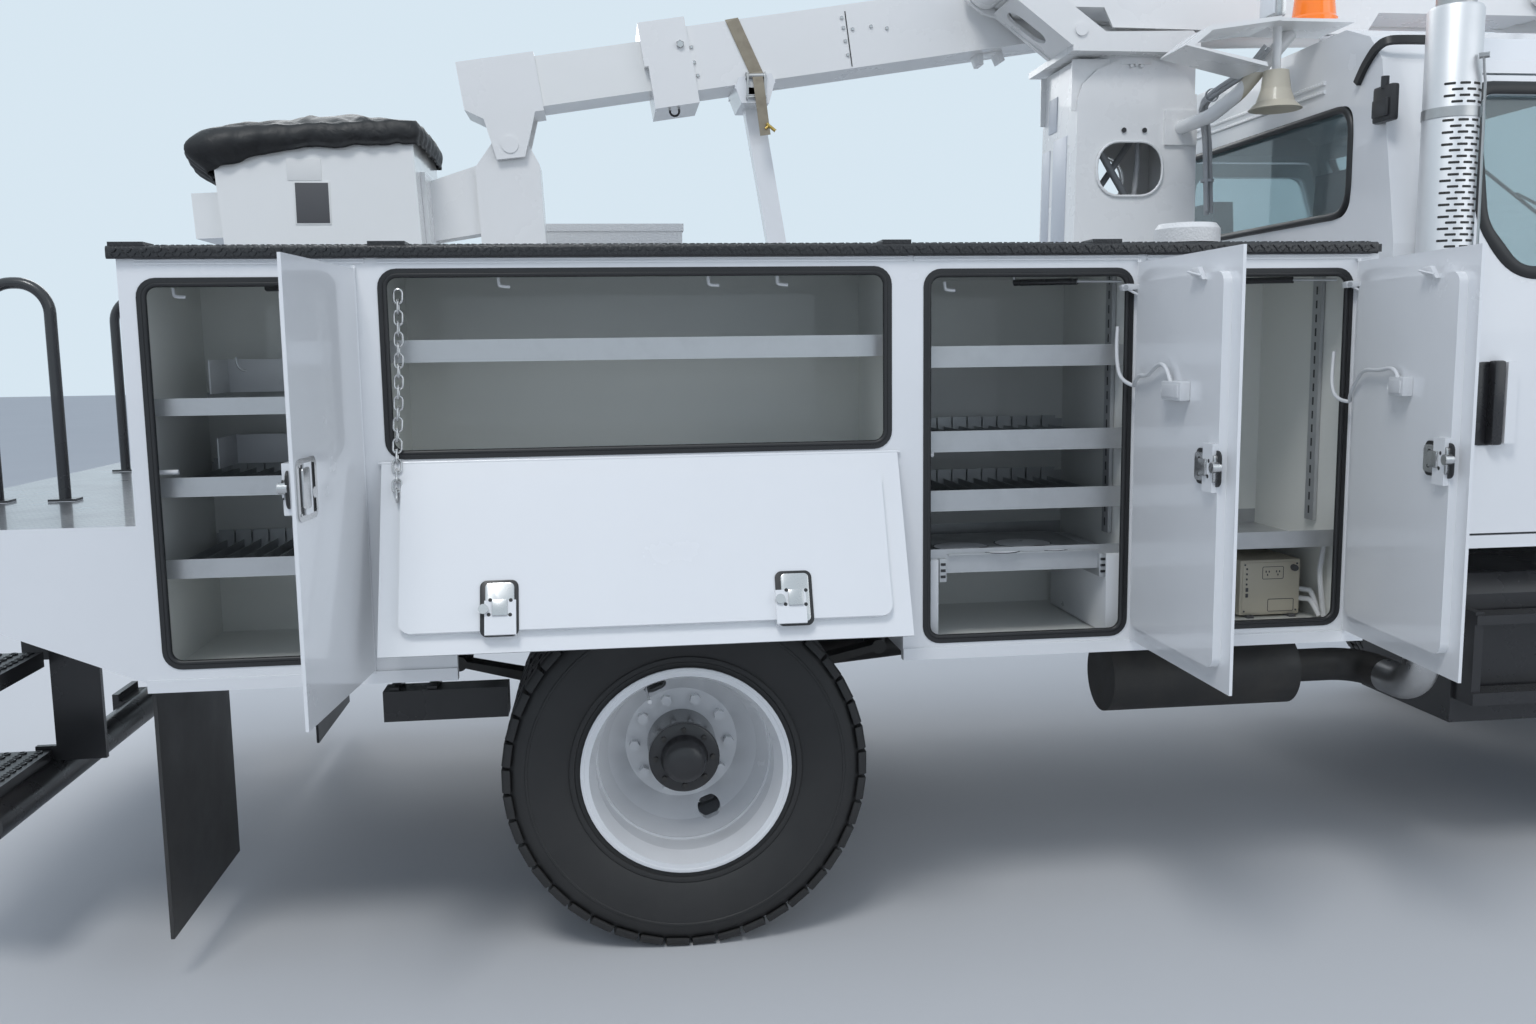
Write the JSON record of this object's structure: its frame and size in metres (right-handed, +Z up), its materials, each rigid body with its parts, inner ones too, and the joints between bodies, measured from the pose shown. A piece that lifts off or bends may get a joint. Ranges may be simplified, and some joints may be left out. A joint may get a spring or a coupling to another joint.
{
  "type": "cherry picker truck",
  "caption": "Utility truck with side lockers, tail steps and a folded aerial boom on a turret, with a covered work bucket resting in the bed.",
  "frame": {"origin": "middle of the truck's overall box, on the road", "axes": "+X to the front of the truck, +Y to its left, +Z up"},
  "size_m": [7.172, 3.197, 3.3418],
  "materials": {
    "white_paint": "gloss",
    "boom_white": "gloss",
    "black_paint": "satin",
    "black_liner": "matt, speckled",
    "alloy": "satin",
    "bright": "polished",
    "iron": "rough",
    "tyre": "matt",
    "rubber": "matt",
    "glass": "clear",
    "lamp_clear": "clear lens",
    "lamp_red": "lens",
    "lamp_amber": "lens",
    "trim": "grained",
    "fibreglass": "gloss",
    "vinyl": "glossy vinyl"
  },
  "bodies": {
    "truck": {"chassis_frame": "black_paint", "rear_axle": "iron", "front_axle": "iron", "body_box_left": "white_paint", "body_box_right": "white_paint", "engine_block": "iron", "cab_shell": "white_paint", "fixed_glass": "glass", "cab_interior": "trim", "front_bumper": "bright", "side_tanks": "alloy", "exhaust_stack": "bright", "top_rails": "black_liner", "body_deck": "white_paint", "tail_shelf": "white_paint", "tail_steps": "black_paint", "mud_flaps": "rubber", "warning_lamps": "lamp_red", "turret": "boom_white", "lamp_bracket": "boom_white", "beacon": "lamp_amber"},
    "steer_left": {"steering_knuckle_left": "iron"},
    "front_wheel_left": {"front_tyre_left": "tyre", "front_rim_left": "white_paint"},
    "rear_wheels_left": {"rear_tyres_left": "tyre", "rear_rims_left": "white_paint"},
    "cab_door_left": {"cab_door_left": "white_paint", "door_glass_left": "glass"},
    "rear_door_left": {"locker_door_rear_left": "white_paint"},
    "middle_door_left": {"locker_door_middle_left": "white_paint"},
    "front_door_left": {"locker_door_front_left": "white_paint"},
    "wide_door_left": {"locker_door_wide_left": "white_paint"},
    "steer_right": {"steering_knuckle_right": "iron"},
    "front_wheel_right": {"front_tyre_right": "tyre", "front_rim_right": "white_paint"},
    "rear_wheels_right": {"rear_tyres_right": "tyre", "rear_rims_right": "white_paint"},
    "cab_door_right": {"cab_door_right": "white_paint", "door_glass_right": "glass"},
    "rear_door_right": {"locker_door_rear_right": "white_paint"},
    "middle_door_right": {"locker_door_middle_right": "white_paint"},
    "front_door_right": {"locker_door_front_right": "white_paint"},
    "wide_door_right": {"locker_door_wide_right": "white_paint"},
    "hood": {"hood": "white_paint", "grille": "bright", "headlamps": "lamp_clear"},
    "turntable": {"turntable": "boom_white"},
    "lower_arm": {"lower_arm": "boom_white"},
    "levelling_link": {"levelling_link": "boom_white"},
    "elbow": {"elbow": "boom_white"},
    "lift_barrel": {"lift_barrel": "boom_white"},
    "lift_rod": {"lift_rod": "bright"},
    "raise_barrel": {"raise_barrel": "boom_white"},
    "raise_rod": {"raise_rod": "bright"},
    "upper_boom": {"upper_boom": "boom_white"},
    "boom_extension": {"boom_extension": "fibreglass", "boom_tip": "boom_white"},
    "platform": {"platform_bracket": "boom_white", "bucket": "fibreglass", "bucket_cover": "vinyl"}
  },
  "joints": [
    {"name": "steer_turn_left", "type": "hinge", "parent": "truck", "child": "steer_left", "pos_m": [2.536, 1.10048, 0.52], "axis": [0, 0, 1], "range_deg": [-35, 35]},
    {"name": "front_wheel_spin_left", "type": "hinge", "parent": "steer_left", "child": "front_wheel_left", "pos_m": [2.536, 1.25048, 0.52], "axis": [0, 1, 0], "continuous": true},
    {"name": "rear_wheels_spin_left", "type": "hinge", "parent": "truck", "child": "rear_wheels_left", "pos_m": [-1.314, 1.31048, 0.52], "axis": [0, 1, 0], "continuous": true},
    {"name": "cab_door_swing_left", "type": "hinge", "parent": "truck", "child": "cab_door_left", "pos_m": [1.984, 1.31248, 1.5], "axis": [0, 0, -1], "range_deg": [0, 70]},
    {"name": "rear_door_left_swing", "type": "hinge", "parent": "truck", "child": "rear_door_left", "pos_m": [-2.153, 1.47748, 1.396], "axis": [0, 0, -1], "range_deg": [0, 92]},
    {"name": "middle_door_left_swing", "type": "hinge", "parent": "truck", "child": "middle_door_left", "pos_m": [-0.02, 1.47748, 1.3975], "axis": [0, 0, -1], "range_deg": [0, 104]},
    {"name": "front_door_left_swing", "type": "hinge", "parent": "truck", "child": "front_door_left", "pos_m": [0.638, 1.47748, 1.3985], "axis": [0, 0, -1], "range_deg": [0, 104]},
    {"name": "wide_door_left_swing", "type": "hinge", "parent": "truck", "child": "wide_door_left", "pos_m": [-1.314, 1.47748, 1.421], "axis": [-1, 0, 0], "range_deg": [0, 157]},
    {"name": "steer_turn_right", "type": "hinge", "parent": "truck", "child": "steer_right", "pos_m": [2.536, -0.59952, 0.52], "axis": [0, 0, 1], "range_deg": [-35, 35]},
    {"name": "front_wheel_spin_right", "type": "hinge", "parent": "steer_right", "child": "front_wheel_right", "pos_m": [2.536, -0.74952, 0.52], "axis": [0, 1, 0], "continuous": true},
    {"name": "rear_wheels_spin_right", "type": "hinge", "parent": "truck", "child": "rear_wheels_right", "pos_m": [-1.314, -0.80952, 0.52], "axis": [0, 1, 0], "continuous": true},
    {"name": "cab_door_swing_right", "type": "hinge", "parent": "truck", "child": "cab_door_right", "pos_m": [1.984, -0.81152, 1.5], "axis": [0, 0, 1], "range_deg": [0, 70]},
    {"name": "rear_door_right_swing", "type": "hinge", "parent": "truck", "child": "rear_door_right", "pos_m": [-2.153, -0.97652, 1.396], "axis": [0, 0, 1], "range_deg": [-85, 7]},
    {"name": "middle_door_right_swing", "type": "hinge", "parent": "truck", "child": "middle_door_right", "pos_m": [-0.02, -0.97652, 1.3975], "axis": [0, 0, 1], "range_deg": [-89, 15]},
    {"name": "front_door_right_swing", "type": "hinge", "parent": "truck", "child": "front_door_right", "pos_m": [0.638, -0.97652, 1.3985], "axis": [0, 0, 1], "range_deg": [-84, 20]},
    {"name": "wide_door_right_swing", "type": "hinge", "parent": "truck", "child": "wide_door_right", "pos_m": [-1.314, -0.97652, 1.421], "axis": [1, 0, 0], "range_deg": [-157, 0]},
    {"name": "hood_tilt", "type": "hinge", "parent": "truck", "child": "hood", "pos_m": [3.424, 0.25048, 0.826], "axis": [0, 1, 0], "range_deg": [0, 70]},
    {"name": "turret_turn", "type": "hinge", "parent": "truck", "child": "turntable", "pos_m": [0.396, 0.25048, 2.724], "axis": [0, 0, 1], "range_deg": [0, 76.5]},
    {"name": "lower_lift", "type": "hinge", "parent": "turntable", "child": "lower_arm", "pos_m": [-0.107, 0.13048, 2.99], "axis": [0, -1, 0], "range_deg": [0, 85]},
    {"name": "link_lift", "type": "hinge", "parent": "turntable", "child": "levelling_link", "pos_m": [0.01527, 0.27648, 2.90311], "axis": [0, -1, 0], "range_deg": [0, 85]},
    {"name": "elbow_level", "type": "hinge", "parent": "lower_arm", "child": "elbow", "pos_m": [1.986, 0.13048, 2.99], "axis": [0, -1, 0], "range_deg": [-85, 0]},
    {"name": "upper_lift", "type": "hinge", "parent": "elbow", "child": "upper_boom", "pos_m": [1.986, 0.40448, 3.22], "axis": [0, 1, 0], "range_deg": [0, 85]},
    {"name": "boom_out", "type": "slide", "parent": "upper_boom", "child": "boom_extension", "axis": [-0.989, 0, -0.1478], "range_m": [0, 1.9286]},
    {"name": "platform_level", "type": "hinge", "parent": "boom_extension", "child": "platform", "pos_m": [-1.82731, 0.40448, 2.44484], "axis": [0, 1, 0], "range_deg": [-85, 0]},
    {"name": "lift_cylinder_tilt", "type": "hinge", "parent": "turntable", "child": "lift_barrel", "pos_m": [0.166, 0.13048, 2.8], "axis": [0, -1, 0], "range_deg": [0, 88.39]},
    {"name": "lift_cylinder_out", "type": "slide", "parent": "lift_barrel", "child": "lift_rod", "axis": [0.9996, 0, 0.0274], "range_m": [0, 0.44368]},
    {"name": "raise_cylinder_tilt", "type": "hinge", "parent": "elbow", "child": "raise_barrel", "pos_m": [1.871, 0.40448, 2.96], "axis": [0, 1, 0], "range_deg": [0, 81.6]},
    {"name": "raise_cylinder_out", "type": "slide", "parent": "raise_barrel", "child": "raise_rod", "axis": [-0.9966, 0, -0.082], "range_m": [0, 0.37568]}
  ],
  "couplings": [
    {"joint": "steer_turn_right", "follows": "steer_turn_left", "ratio": 1},
    {"joint": "turret_turn", "follows": "upper_lift", "ratio": 0.9},
    {"joint": "link_lift", "follows": "lower_lift", "ratio": 1},
    {"joint": "elbow_level", "follows": "lower_lift", "ratio": -1},
    {"joint": "boom_out", "follows": "upper_lift", "m_per_rad": 1.3},
    {"joint": "platform_level", "follows": "upper_lift", "ratio": -1},
    {"joint": "lift_cylinder_tilt", "follows": "lower_lift", "ratio": 1.0398},
    {"joint": "lift_cylinder_out", "follows": "lower_lift", "m_per_rad": 0.299},
    {"joint": "raise_cylinder_tilt", "follows": "upper_lift", "ratio": 0.9599},
    {"joint": "raise_cylinder_out", "follows": "upper_lift", "m_per_rad": 0.25317}
  ]
}
